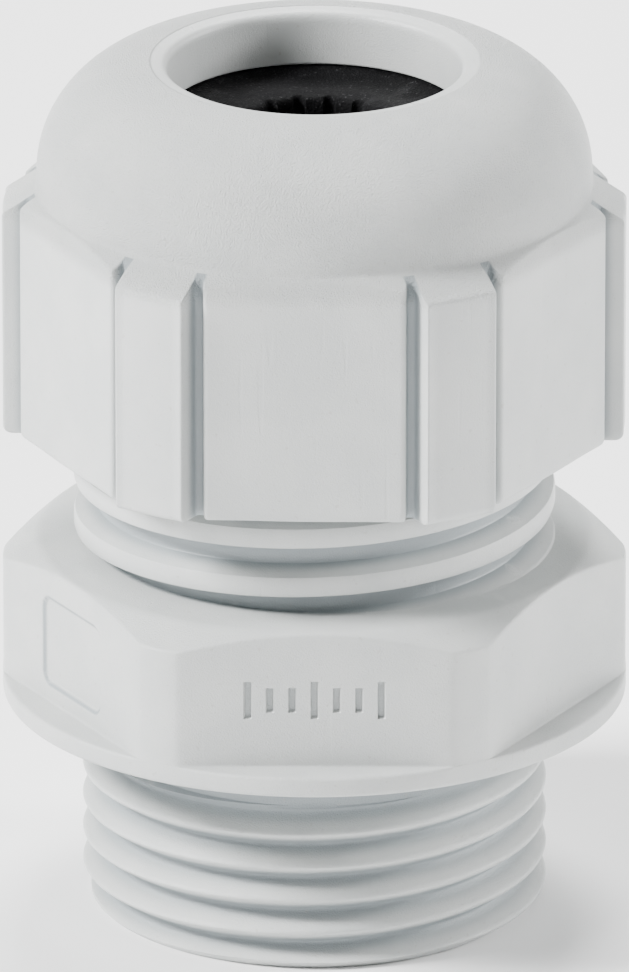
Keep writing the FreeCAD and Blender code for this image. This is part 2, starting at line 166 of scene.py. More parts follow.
# (radius * cos, radius * sin, height)
def ringPoints(radius, height, cosine, sine):
    return np.stack([radius * cosine, radius * sine, np.broadcast_to(height, radius.shape)], axis=-1)

# One mesh from blocks of points in millimetres, quads and amounts of painted shade; rings that two blocks
# share are merged. The painted shade is 0 on the outside and 1 at the bottom of a groove, and the materials
# read it to darken grooves, thread roots and the ticks with a painted shade colour.
def makePiece(name, blocks, sharpAngle=32.0):
    points, faces, hollowShades, count = [], [], [], 0
    for blockPoints, blockFaces, blockHollowShades in blocks:
        flat = blockPoints.reshape(-1, 3)
        points.append(flat)
        faces.append(blockFaces + count)
        hollowShades.append(np.broadcast_to(blockHollowShades, blockPoints.shape[:-1]).ravel())
        count += len(flat)
    points = np.concatenate(points) * mm
    faces = np.concatenate(faces)
    mesh = bpy.data.meshes.new(name)
    mesh.vertices.add(len(points))
    mesh.vertices.foreach_set("co", points.ravel())
    mesh.loops.add(faces.size)
    mesh.loops.foreach_set("vertex_index", faces.ravel().astype(np.int32))
    mesh.polygons.add(len(faces))
    mesh.polygons.foreach_set("loop_start", np.arange(0, faces.size, 4, dtype=np.int32))
    mesh.update(calc_edges=True)
    hollowShade = mesh.attributes.new("hollowShade", "FLOAT", "POINT")
    hollowShade.data.foreach_set("value", np.concatenate(hollowShades).astype(np.float32))
    work = bmesh.new()
    work.from_mesh(mesh)
    bmesh.ops.remove_doubles(work, verts=work.verts, dist=mergeDistance)
    bmesh.ops.dissolve_degenerate(work, edges=work.edges, dist=mergeDistance)
    bmesh.ops.recalc_face_normals(work, faces=work.faces)
    if work.calc_volume(signed=True) < 0:
        bmesh.ops.reverse_faces(work, faces=work.faces)
    openEdges = sum(1 for edge in work.edges if len(edge.link_faces) != 2)
    work.to_mesh(mesh)
    work.free()
    mesh.polygons.foreach_set("use_smooth", np.ones(len(mesh.polygons), bool))
    mesh.set_sharp_from_angle(angle=math.radians(sharpAngle))
    piece = bpy.data.objects.new(name, mesh)
    bpy.context.scene.collection.objects.link(piece)
    print("%s: %d faces, %d open edges" % (name, len(mesh.polygons), openEdges))
    return piece

# Camera: a long lens that looks at the marks' flat from a little above. Distances are in metres, and the
# lens and its sensor in millimetres.
camera = {
    "distance": 0.9,
    "nearest": 0.05,
    "elevation": 20.9,
    "aim": (0.0, 0.0, 0.01838),
    "lens": 778.0,
    "sensor": 36.0,
}

def placeCamera(settings):
    data = bpy.data.cameras.new("camera")
    data.lens = settings["lens"]
    data.sensor_width = settings["sensor"]
    data.clip_start = settings["nearest"]
    seen = bpy.data.objects.new("camera", data)
    bpy.context.scene.collection.objects.link(seen)
    tilt = math.radians(settings["elevation"])
    away = Vector((0, -math.cos(tilt), math.sin(tilt)))
    seen.location = Vector(settings["aim"]) + away * settings["distance"]
    seen.rotation_euler = (math.pi / 2 - tilt, 0, 0)
    bpy.context.scene.camera = seen

placeCamera(camera)

# Body: connection thread, flange, hexagon with its panel and tick marks, neck with the nut's thread.
body = {
    "connection": {"crest": 10.0, "depth": 0.92, "crestWidth": 0.2, "flank": 0.531, "softness": 0.16,
                   "pitch": 1.5, "start": -0.875},
    "threadTop": 7.25,
    "endChamfer": 0.45,
    "runOutSlope": 1.73,           # how fast the ridge falls to the core at its upper end
    "coreRise": 0.3,               # plain core begins this far above the ridge's end
    "flangeLow": 9.3,
    "flangeHigh": 10.2,
    "flangeRadius": 13.39,
    "halfAcross": 12.0,
    "cornerRadius": 13.37,
    "cornerBlend": 0.1,
    "flatFoot": 0.02,              # the flats' foot stands out by this
    "flatMargin": (0.25, 0.06),    # from the outer rows of the flats down and up to the next rows
    "extraRows": (11.9, 14.3),
    "hexTop": 16.25,
    "topInset": 0.15,
    "topDrop": 0.9,
    "neck": {"crest": 10.32, "depth": 1.0, "crestWidth": 0.85, "flank": 0.35, "softness": 0.14,
             "pitch": 2.2, "start": 16.05},
    "neckFoot": 0.3,               # a ring this far out from the neck, on the hexagon's top
    "neckTop": 25.3,
    "neckLeadIn": 0.8,
    "socketMiddles": (8.665, 8.4725),
    "socketSteps": 5,
    "heelHeight": 25.6,
    "socketRadius": 0.6,
    "seatRadius": 7.9025,
    "seatHeight": 24.3,
    "bore": 6.6,
    "boreLeadIn": 0.5,
    "rounds": {"core": 0.2, "underFlange": 0.15, "flangeLow": 0.22, "flangeHigh": 0.2, "flatFoot": 0.12,
               "hexEdge": 0.15, "hexTop": 0.25, "seat": 0.08, "bore": 0.1},
    "baseColumns": 216,
    "cornerColumns": (-1.1, -0.45, 0.0, 0.45),   # round the place where a flat meets its corner
    "columnGap": 0.3,
    "rowGap": 0.02,
}
# Each has a strength of painted shade: for the ticks over the whole of each tick, and for the panel in a
# line along its wall.
ticks = {"count": 7, "step": 0.95, "width": 0.35, "tall": 1.7, "short": 1.13, "depth": 0.2, "edge": 0.07,
         "corner": 0.01, "line": 0.6, "height": 13.225}
panel = {"azimuth": -150.0, "half": 2.6, "low": 10.775, "high": 15.075, "corner": 0.7, "depth": 0.15,
         "edge": 0.36, "line": 1.0, "wallSteps": 5, "bendSteps": 6}

# Plan of a hexagon with round corners: the smaller of flat / cos(angle) and the corner circle, joined
# by the smooth minimum (a + b - sqrt((a - b)^2 + k^2)) / 2.
def hexagonRadius(angle, halfAcross, cornerRadius, blend):
    flat = halfAcross / np.cos(fromFlat(angle, frontAzimuth))
    return (flat + cornerRadius - np.hypot(flat - cornerRadius, blend)) / 2

# 0 outside and 1 inside a rounded rectangle, with a soft wall: s * s * (3 - 2 s), where s is the distance
# inwards from its edge over the wall's width, held between 0 and 1.
def roundedBox(across, up, halfWidth, halfHeight, corner, wall):
    x = np.abs(across) - (halfWidth - corner)
    y = np.abs(up) - (halfHeight - corner)
    distance = np.hypot(np.maximum(x, 0), np.maximum(y, 0)) + np.minimum(np.maximum(x, y), 0) - corner
    inside = np.clip(-distance / wall, 0, 1)
    return inside * inside * (3 - 2 * inside)

# Distances inwards from the panel's edge at which its wall and its round corners get a row or a column.
def panelSteps():
    wall = np.linspace(0, 1, panel["wallSteps"]) * panel["edge"]
    corner = panel["corner"] * (1 - np.sin(np.linspace(0, 1, panel["bendSteps"])[:-1] * math.pi / 2))
    return np.concatenate([wall, corner, corner + panel["edge"]])

# Columns: even ones all round, with extra ones at the hexagon's corners and where the ticks' and the
# panel's walls stand. An even column too near an extra one gives way.
def bodyColumns(settings):
    front = math.radians(frontAzimuth)
    even = np.arange(settings["baseColumns"]) * 2 * math.pi / settings["baseColumns"]
    half = ticks["width"] / 2
    marks = ticks["step"] * (np.arange(ticks["count"]) - (ticks["count"] - 1) / 2)
    walls = np.array([-half, -half + ticks["edge"], half - ticks["edge"], half])
    tickLines = (marks[:, None] + walls).ravel()
    panelLines = np.unique(np.round(panel["half"] - panelSteps(), 4))
    panelLines = np.concatenate([-panelLines, panelLines])
    edge = math.acos(settings["halfAcross"] / settings["cornerRadius"])
    around = edge + np.radians(settings["cornerColumns"])
    flats = front + math.radians(sixth) * np.arange(6)[:, None]
    special = np.concatenate([
        (flats + around).ravel(), (flats - around).ravel(),
        front + np.arctan(tickLines / settings["halfAcross"]),
        math.radians(panel["azimuth"]) + np.arctan(panelLines / settings["halfAcross"])])
    special = np.sort(special % (2 * math.pi))
    nearest = np.abs(even[:, None] - special[None, :]).min(axis=1)
    return np.sort(np.concatenate([even[nearest > math.radians(settings["columnGap"])], special]))

# Heights of the rows on the flats: the ends and walls of the ticks, those of the panel, and a few between.
def flatRows(settings):
    tall, short, edge = ticks["tall"] / 2, ticks["short"] / 2, ticks["edge"]
    marks = np.array([tall, tall - edge, short, short - edge, 0.0])
    inset = np.unique(np.round(panelSteps(), 3))
    rows = np.sort(np.concatenate([ticks["height"] + marks, ticks["height"] - marks, panel["low"] + inset,
                                   panel["high"] - inset, settings["extraRows"]]))
    return rows[np.concatenate([[True], np.diff(rows) > settings["rowGap"]])]

# How far the flats are sunk: the panel's depth * roundedBox on one, and on the front one the ticks' depth *
# roundedBox for each of a row of plain bars, of which the outer two and the middle one are tall.
def sunkDepth(angle, height):
    across = body["halfAcross"] * np.tan(angle - math.radians(panel["azimuth"]))
    middle = (panel["high"] + panel["low"]) / 2
    halfHeight = (panel["high"] - panel["low"]) / 2
    depth = np.where(onFlat(angle, panel["azimuth"]), panel["depth"] * roundedBox(
        across, height - middle, panel["half"], halfHeight, panel["corner"], panel["edge"]), 0)
    across = body["halfAcross"] * np.tan(angle - math.radians(frontAzimuth))
    last = (ticks["count"] - 1) // 2
    for number in range(-last, last + 1):
        size = ticks["tall"] if number % last == 0 else ticks["short"]
        bar = roundedBox(across - number * ticks["step"], height - ticks["height"], ticks["width"] / 2,
                         size / 2, ticks["corner"], ticks["edge"])
        depth = depth + np.where(onFlat(angle, frontAzimuth), ticks["depth"] * bar, 0)
    return depth

# Grids of angle by row that share their rings. Both threads are skewed grids, under a cone at each free end
# and a run-out. On the flats the radius is the hexagon's - depth sunk / cos(angle from the flat's middle).
# The rest are rounded outlines of radius and height, carried round the axis.
def glandBody():
    angle = bodyColumns(body)
    cosine, sine = np.cos(angle), np.sin(angle)
    columns = len(angle)
    connection, neck, rounds = body["connection"], body["neck"], body["rounds"]
    threadTop, hexTop, neckTop = body["threadTop"], body["hexTop"], body["neckTop"]
    blocks = []

    root = connection["crest"] - connection["depth"]
    endCone = lambda height: connection["crest"] - body["endChamfer"] + height
    runOut = lambda height: root + (threadTop - height) * body["runOutSlope"]
    radius, height, faces = threadGrid(angle, connection, 0.0, threadTop,
                                       lambda h: np.minimum(endCone(h), runOut(h)))
    # the connection thread's roots get painted shade
    blocks.append((ringPoints(radius, height, cosine, sine), faces, threadHollow(radius, connection)))
    bottomRing, upperRing = radius[0], radius[-1]

    # flange, flats and the hexagon's top
    hexPlan = hexagonRadius(angle, body["halfAcross"], body["cornerRadius"], body["cornerBlend"])
    topCircle = body["halfAcross"] - body["topInset"]
    slope = body["topDrop"] / (body["cornerRadius"] - topCircle)
    edgeHeight = hexTop - slope * (hexPlan - topCircle)
    neckRing = threadRadius(hexTop, angle, neck)
    wide = body["flangeRadius"]
    rows = flatRows(body)
    low = roundedPath(columns, [
        (upperRing, threadTop, 0),
        (root, threadTop + body["coreRise"], rounds["core"]),
        (root, body["flangeLow"], rounds["underFlange"]),
        (wide, body["flangeLow"], rounds["flangeLow"]),
        (wide, body["flangeHigh"], rounds["flangeHigh"]),
        (hexPlan + body["flatFoot"], body["flangeHigh"], rounds["flatFoot"]),
        (hexPlan, rows[0] - body["flatMargin"][0], 0),
    ])
    heights = np.broadcast_to(rows[:, None], (len(rows), columns))
    sunk = sunkDepth(angle, heights)
    wall = hexPlan - sunk / np.cos(fromFlat(angle, frontAzimuth))
    high = roundedPath(columns, [
        (hexPlan, rows[-1] + body["flatMargin"][1], 0),
        (hexPlan, edgeHeight, rounds["hexEdge"]),
        (topCircle, hexTop, rounds["hexTop"]),
        (neckRing + body["neckFoot"], hexTop, 0),
        (neckRing, hexTop, 0),
    ], steps=6)
    radius = np.concatenate([low[:, 0], wall, high[:, 0]])
    height = np.concatenate([low[:, 1], heights, high[:, 1]])
    # painted shade in the thread's roots, darker nearer the root
    hollowShade = threadHollow(radius, connection)
    # painted shade: the ticks are darkened all over, the panel only in a line along its wall
    onPanel = onFlat(angle, panel["azimuth"])
    share = sunk / np.where(onPanel, panel["depth"], ticks["depth"])
    hollowShade[len(low):len(low) + len(rows)] = np.where(onPanel, panel["line"] * 4 * share * (1 - share),
                                                     ticks["line"] * share)
    blocks.append((ringPoints(radius, height, cosine, sine), gridFaces(len(radius), columns), hollowShade))

    leadIn = lambda height: neck["crest"] - body["neckLeadIn"] + neckTop - height
    radius, height, faces = threadGrid(angle, neck, hexTop, neckTop, leadIn)
    # the neck thread's roots get painted shade
    blocks.append((ringPoints(radius, height, cosine, sine), faces, threadHollow(radius, neck)))

    # top of the neck with the fingers' ring groove, the seat, the bore and its lead-in
    heel, socketRadius, steps = body["heelHeight"], body["socketRadius"], body["socketSteps"]
    reach = math.asin((heel - neckTop) / socketRadius)
    arcs = (np.linspace(-reach, -math.pi / 2, steps), np.linspace(-math.pi / 2, reach - math.pi, steps))
    socket = [(middle + socketRadius * math.cos(turn), heel + socketRadius * math.sin(turn), 0)
              for middle, arc in zip(body["socketMiddles"], arcs) for turn in arc]
    inside = roundedPath(columns, [
        (radius[-1], neckTop, 0),
        *socket,
        (body["seatRadius"], neckTop, 0),
        (body["seatRadius"], body["seatHeight"], rounds["seat"]),
        (body["bore"], body["seatHeight"], rounds["bore"]),
        (body["bore"], body["boreLeadIn"], rounds["bore"]),
        (body["bore"] + body["boreLeadIn"], 0, rounds["bore"]),
        (bottomRing, 0, 0),
    ])
    blocks.append((ringPoints(inside[:, 0], inside[:, 1], cosine, sine),
                   gridFaces(len(inside), columns), 0.0))
    return makePiece("glandBody", blocks)

# Cap nut: every column of points is one closed outline in (radius, height). The plan repeats six times.
nut = {
    "turn": -2.0,                      # how far the nut's flats stand round from the body's
    "bottom": 21.25,
    "top": 37.75,
    "flat": 12.0,
    "flatEnd": 4.2805,
    "grooveFloor": 11.39,
    "ribFoot": 4.6535,
    "ribEdge": (5.208, 12.3506),
    "ribRadius": 13.3,
    "ribTop": 31.3,
    "planRounds": (0.22, 0.12, 0.12, 0.16),   # flat's end, groove's two corners, rib's edge
    "flatColumns": 10,
    "flatRest": 0.3,                   # the flat's last even column stands this far before its end
    "bendColumns": 5,
    "arcColumns": 7,
    "wallInset": 1.0,                  # from the nut's foot and from the ribs' top to the wall's rows
    "wallRows": 6,
    "wallMargin": 0.1,
    "shoulderFoot": (11.85, 32.25),
    "domeRadius": 4.95,
    "domeCentre": (6.9, 32.8),
    "domeRows": 25,
    "lipOuter": 7.02,
    "lipRing": 0.1,                    # rings this far out and in from the lip's outer edge
    "lipFalls": (0.002, 0.035, 0.12),  # below the top, at those two rings and at the opening
    "opening": 6.28,
    "lipUnder": 35.3,
    "coneTop": 7.596,
    "coneFoot": (9.339, 27.75),
    "reliefLow": 26.05,
    "thread": {"crest": 10.45, "depth": 1.0, "crestWidth": 1.0, "flank": 0.35, "softness": 0.1,
               "pitch": 2.2},
    "threadMargins": (0.05, 0.15),     # from the relief down to the thread's first two rows
    "threadStep": 0.11,
    "leadIn": 0.5,
    "footRing": 0.9,                   # a ring this far out from the thread, under the nut
    "rounds": {"foot": 0.42, "shoulder": 0.16, "domeFoot": 0.18, "lipOuter": 0.06, "lipInner": 0.05,
               "opening": 0.42, "lipUnder": 0.12, "coneTop": 0.2, "coneFoot": 0.1, "relief": 0.15,
               "reliefLow": 0.1},
    # painted shade in the grooves between flats and ribs: a gain on how far in from the flat, and how deep
    # the ribs' outer part is left without it
    "hollowShadeGain": 1.15,
    "hollowShadeReach": 0.7,                # a rib's outer part, this deep, never gets painted shade
}
# the thread turns with the nut
nut["thread"]["start"] = body["neck"]["start"] + nut["thread"]["pitch"] * nut["turn"] / 360

# Closed plan of the nut as angles in radians and radii. Half of one sixth runs through (across, out) corners
# from a flat's middle over the groove to the rib, each rounded by a quadratic curve, and on along the rib's
# arc; it is mirrored and repeated.
def nutPlan(settings):
    flat, floor, rib = settings["flat"], settings["grooveFloor"], settings["ribRadius"]
    edgeX, edgeY = settings["ribEdge"]
    arc = np.linspace(math.atan2(edgeX, edgeY), math.radians(sixth / 2), settings["arcColumns"])
    points = np.array([(0.0, flat), (settings["flatEnd"], flat), (settings["flatEnd"], floor),
                       (settings["ribFoot"], floor), (edgeX, edgeY),
                       (rib * math.sin(arc[1]), rib * math.cos(arc[1]))])
    x = [np.linspace(0, settings["flatEnd"] - settings["flatRest"], settings["flatColumns"])]
    y = [np.full(settings["flatColumns"], flat)]
    t = np.linspace(0, 1, settings["bendColumns"])
    for i, cut in enumerate(settings["planRounds"], 1):
        before, here, after = points[i - 1:i + 2]
        start, end = (here + (other - here) * min(cut / np.linalg.norm(other - here), cutShare)
                      for other in (before, after))
        x.append(bend(t, start[0], here[0], end[0]))
        y.append(bend(t, start[1], here[1], end[1]))
    x = np.concatenate(x + [rib * np.sin(arc[1:])])
    y = np.concatenate(y + [rib * np.cos(arc[1:])])
    halfAngle, halfRadius = np.arctan2(x, y), np.hypot(x, y)
    angle = np.concatenate([-halfAngle[:0:-1], halfAngle[:-1]])
    radius = np.concatenate([halfRadius[:0:-1], halfRadius[:-1]])
    starts = np.radians(frontAzimuth + settings["turn"] + sixth * np.arange(6))
    return (starts[:, None] + angle[None, :]).ravel(), np.tile(radius, 6)

# Grid of plan angle by row, closed both ways. The wall's radius is the plan's, the dome is its centre +
# its radius * (cos, sin) of the lift, and inside, the radius is the larger of the thread's tooth and the
# lead-in cone. The rest are rounded outlines.
def capNut():
    angle, plan = nutPlan(nut)
    columns = len(angle)
    thread, rounds = nut["thread"], nut["rounds"]
    bottom, top, reliefLow, major = nut["bottom"], nut["top"], nut["reliefLow"], nut["thread"]["crest"]
    footRadius, footHeight = nut["shoulderFoot"]
    coneRadius, coneHeight = nut["coneFoot"]
    slope = (footHeight - nut["ribTop"]) / (nut["ribRadius"] - footRadius)
    shoulder = footHeight - slope * (plan - footRadius)
    wallRows = np.linspace(bottom + nut["wallInset"], nut["ribTop"] - nut["wallInset"], nut["wallRows"])
    outside = roundedPath(columns, [
        (major + nut["footRing"], bottom, 0),
        (plan, bottom, rounds["foot"]),
        (plan, wallRows[0], 0),
    ], steps=7)
    wall = outlineRows(columns, plan, wallRows[:, None])
    centreR, centreZ = nut["domeCentre"]
    above = roundedPath(columns, [
        (plan, wallRows[-1] + nut["wallMargin"], 0),
        (plan, shoulder, rounds["shoulder"]),
        (footRadius, footHeight, rounds["domeFoot"]),
        (footRadius, centreZ, 0),
    ], steps=7)
    lift = np.linspace(0, math.pi / 2, nut["domeRows"])[1:-1, None]
    dome = outlineRows(columns, centreR + nut["domeRadius"] * np.cos(lift),
                       centreZ + nut["domeRadius"] * np.sin(lift))
    outerFall, innerFall, openingFall = nut["lipFalls"]
    threadFirst = reliefLow - nut["threadMargins"][0]
    lip = roundedPath(columns, [
        (nut["lipOuter"] + nut["lipRing"], top - outerFall, 0),
        (nut["lipOuter"], top, rounds["lipOuter"]),
        (nut["lipOuter"] - nut["lipRing"], top - innerFall, rounds["lipInner"]),
        (nut["opening"], top - openingFall, rounds["opening"]),
        (nut["opening"], nut["lipUnder"], rounds["lipUnder"]),
        (nut["coneTop"], nut["lipUnder"], rounds["coneTop"]),
        (coneRadius, coneHeight, rounds["coneFoot"]),
        (major, coneHeight, rounds["relief"]),
        (major, reliefLow, rounds["reliefLow"]),
        (threadRadius(threadFirst, angle, thread), threadFirst, 0),
    ])
    mouth = major + nut["leadIn"]
    threadNext = reliefLow - nut["threadMargins"][1]
    rows = np.arange(threadNext, bottom + nut["leadIn"], -nut["threadStep"])[:, None]
    inner = np.maximum(threadRadius(rows, angle, thread), mouth - (rows - bottom))
    path = np.concatenate([outside, wall[1:], above, dome, lip, outlineRows(columns, inner, rows),
                           outlineRows(columns, mouth, bottom)])
    points = ringPoints(path[:, 0], path[:, 1], np.cos(angle), np.sin(angle))
    # Painted shade in the grooves of the plan, darker the further in from the flat, over the foot, the wall
    # and up to about the middle of the shoulder's rows; the ribs' outer part gets none.
    hollowShade = np.zeros(path[:, 0].shape)
    outer = len(outside) + len(wall) + len(above) // 2
    out = plan * np.cos(fromFlat(angle, frontAzimuth + nut["turn"]))
    sunk = nut["hollowShadeGain"] * (nut["flat"] - out) / (nut["flat"] - nut["grooveFloor"])
    hollowShade[:outer] = np.where(plan < nut["ribRadius"] - nut["hollowShadeReach"], np.clip(sunk, 0, 1), 0)
    return makePiece("capNut", [(points, gridFaces(len(points), columns, closeRows=True), hollowShade)])

# Rubber insert: a turned outline with upright grooves round its hole and a dished, slightly uneven face.
seal = {
    "columns": 252,
    "footGap": 0.1,                    # from the foot to the wall of its seat
    "mouth": 4.2,
    "mouthHeight": 2.6,
    "neck": 6.254,
    "neckRise": 0.35,                  # the neck reaches its full width this far below the collar
    "collarLow": 32.407,
    "collarGap": 0.12,                 # from the collar to the nut's cone
    "hole": 2.9,
    "grooves": 14,
    "groove": 0.25,
    "faceRings": (0.15, 0.1, 0.8),     # two rings out from the nut's opening, and one out from the hole
    "faceRows": 14,
    "dish": 0.22,
    "dishPower": 0.8,
    "waves": ((0.03, 3, 1.0), (0.02, 7, 0.0)),   # size, waves in a turn, phase
    "rim": (0.6, 0.01, 0.22),          # a ring out from the hole and its fall, and the fall of the edge
    "shaft": (2.0, 3.0),               # first two rows of the plain hole, below the top
    "shaftRows": 6,
    "rounds": {"foot": 0.1, "heel": 0.2, "neck": 0.2, "collar": 0.1, "face": 0.35, "hole": 0.45},
}

# Grid of angle by row, closed both ways. The hole's radius is hole + sqrt(groove^2 - d^2), where d is the
# distance round from a groove's middle. The face's height is the top - dish * sin(pi s)^power + waves *
# sin(pi s), where s runs from 0 at the hole to 1 at the nut's opening. The rest are rounded outlines.
def sealInsert():
    low, high = (corner.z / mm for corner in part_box("seal_insert"))
    columns, rounds = seal["columns"], seal["rounds"]
    angle = np.arange(columns) * 2 * math.pi / columns
    foot = body["seatRadius"] - seal["footGap"]
    collar = nut["coneTop"] - seal["collarGap"]
    turn = 2 * math.pi / seal["grooves"]
    fromGroove = seal["hole"] * ((angle + turn / 2) % turn - turn / 2)
    hole = seal["hole"] + np.sqrt(np.maximum(seal["groove"] ** 2 - fromGroove ** 2, 0))
    farRing, outRing, inRing = seal["faceRings"]
    face = np.linspace(nut["opening"] + outRing, seal["hole"] + inRing, seal["faceRows"])
    share = np.clip((face - seal["hole"]) / (nut["opening"] - seal["hole"]), 0, 1)
    swell = np.sin(math.pi * share)[:, None]
    wave = sum(size * np.sin(count * angle + phase) for size, count, phase in seal["waves"])
    dished = np.minimum(high - seal["dish"] * swell ** seal["dishPower"] + wave * swell, high)
    outer = roundedPath(columns, [
        (seal["mouth"], low, 0),
        (foot, low, rounds["foot"]),
        (foot, body["heelHeight"], rounds["heel"]),
        (seal["neck"], seal["collarLow"] - seal["neckRise"], rounds["neck"]),
        (seal["neck"], seal["collarLow"], rounds["collar"]),
        (collar, seal["collarLow"], rounds["collar"]),
        (collar, high, rounds["face"]),
        (face[0] + farRing, high, 0),
    ])
    rimRing, rimFall, edgeFall = seal["rim"]
    bore = roundedPath(columns, [
        (seal["hole"] + rimRing, dished[-1] - rimFall, 0),
        (hole, high - edgeFall, rounds["hole"]),
        (hole, high - seal["shaft"][0], 0),
    ], steps=7)
    depths = np.linspace(high - seal["shaft"][1], low + seal["mouthHeight"], seal["shaftRows"])[:, None]
    path = np.concatenate([outer, outlineRows(columns, face[:, None], dished), bore,
                           outlineRows(columns, hole, depths)])
    points = ringPoints(path[:, 0], path[:, 1], np.cos(angle), np.sin(angle))
    return makePiece("sealInsert", [(points, gridFaces(len(points), columns, closeRows=True), 0.0)])

# Shader node helpers
def nodeGroup(name, inputs, outputs):
    group = bpy.data.node_groups.new(name, "ShaderNodeTree")
    for label, kind, default in inputs:
        socket = group.interface.new_socket(label, in_out="INPUT", socket_type="NodeSocket" + kind)
        if default is not None:
            socket.default_value = default
    for label in outputs:
        group.interface.new_socket(label, in_out="OUTPUT", socket_type="NodeSocketFloat")
    return group, group.nodes.new("NodeGroupInput").outputs, group.nodes.new("NodeGroupOutput").inputs

# A node whose sockets are linked when given a socket, and set when given a value.
def addNode(tree, kind, links=None, **settings):
    node = tree.nodes.new("ShaderNode" + kind)
    for key, given in settings.items():
        setattr(node, key, given)
    for socket, given in (links or {}).items():
        if isinstance(given, bpy.types.NodeSocket):
            tree.links.new(given, node.inputs[socket])
        else:
            node.inputs[socket].default_value = given
    return node

def calc(tree, operation, *given, clamp=False):
    return addNode(tree, "Math", dict(enumerate(given)), operation=operation, use_clamp=clamp).outputs[0]

def ramp(tree, source, low, high, outLow=0.0, outHigh=1.0):
    node = addNode(tree, "MapRange", {"Value": source, "From Min": low, "From Max": high,
                                      "To Min": outLow, "To Max": outHigh}, interpolation_type="SMOOTHSTEP")
    return node.outputs["Result"]

def noise(tree, place, scale, **settings):
    return addNode(tree, "TexNoise", {"Vector": place, "Scale": scale, **settings}).outputs["Fac"]

# A Mix node's colours are its inputs 6 and 7 and its output 2.
def mixColour(tree, amount, first, second):
    return addNode(tree, "Mix", {0: amount, 6: first, 7: second}, data_type="RGBA").outputs[2]

# Grain: fine pits and lumps of an etched mould. Height is 0 to a little over 1, Speck picks out glints.
grainLook = {"scale": 9000.0, "detail": 3.0, "roughness": 0.65, "cells": 0.35, "speck": (0.6, 0.72)}

def grainGroup(look):
    group, given, made = nodeGroup("mouldGrain", [("Position", "Vector", None),
                                                  ("Scale", "Float", look["scale"])], ["Height", "Speck"])
    lumps = noise(group, given["Position"], given["Scale"], Detail=look["detail"],
                  Roughness=look["roughness"])
    cells = addNode(group, "TexVoronoi", {"Vector": given["Position"], "Scale": given["Scale"]},
                    feature="F1")
    group.links.new(calc(group, "MULTIPLY_ADD", cells.outputs["Distance"], look["cells"], lumps),
                    made["Height"])
    group.links.new(ramp(group, lumps, *look["speck"]), made["Speck"])
    return group

# Wear: a mask of where the surface bends outwards, broken up by noise.
wearLook = {"scale": 900.0, "detail": 2.0, "edge": (0.52, 0.62), "gaps": (0.35, 0.65)}

def wearGroup(look):
    group, given, made = nodeGroup("edgeWear", [("Position", "Vector", None),
                                                ("Breakup", "Float", look["scale"])], ["Mask"])
    edge = ramp(group, addNode(group, "NewGeometry").outputs["Pointiness"], *look["edge"])
    patches = noise(group, given["Position"], given["Breakup"], Detail=look["detail"])
    gaps = ramp(group, patches, *look["gaps"])
    group.links.new(calc(group, "MULTIPLY", edge, gaps), made["Mask"])
    return group

# Dust and handling marks: soft blotches, with fewer and smaller specks on top.
dustLook = {"scale": 300.0, "detail": 4.0, "roughness": 0.55, "blotches": (0.3, 0.7),
            "finer": 14.0, "fineDetail": 1.0, "specks": (0.7, 0.78)}

def dustGroup(look):
    group, given, made = nodeGroup("dust", [("Position", "Vector", None), ("Scale", "Float", look["scale"])],
                                   ["Blotches", "Specks"])
    soft = noise(group, given["Position"], given["Scale"], Detail=look["detail"],
                 Roughness=look["roughness"])
    fineScale = calc(group, "MULTIPLY", given["Scale"], look["finer"])
    fine = noise(group, given["Position"], fineScale, Detail=look["fineDetail"])
    group.links.new(ramp(group, soft, *look["blotches"]), made["Blotches"])
    group.links.new(ramp(group, fine, *look["specks"]), made["Specks"])
    return group

# Scratches: noise stretched along Z, so that thin upright lines appear in patches.
scratchLook = {"scale": 2500.0, "detail": 1.0, "stretch": (1.0, 1.0, 0.06), "lines": (0.62, 0.72),
               "patchScale": 250.0, "patches": (0.45, 0.6)}

def scratchGroup(look):
    group, given, made = nodeGroup("scratches", [("Position", "Vector", None),
                                                 ("Scale", "Float", look["scale"])], ["Lines"])
    long = addNode(group, "Mapping", {"Vector": given["Position"], "Scale": look["stretch"]})
    lines = noise(group, long.outputs["Vector"], given["Scale"], Detail=look["detail"])
    patches = noise(group, given["Position"], look["patchScale"], Detail=look["detail"])
    group.links.new(calc(group, "MULTIPLY", ramp(group, lines, *look["lines"]),
                         ramp(group, patches, *look["patches"])), made["Lines"])
    return group

groups = {"grain": grainGroup(grainLook), "wear": wearGroup(wearLook), "dust": dustGroup(dustLook),
          "scratches": scratchGroup(scratchLook)}
print("shader groups made")

def placeGroup(tree, name, **given):
    return addNode(tree, "Group", given, node_tree=groups[name]).outputs

def newMaterial(name):
    material = bpy.data.materials.new(name)
    material.use_nodes = True
    tree = material.node_tree
    return material, tree, tree.nodes["Principled BSDF"]

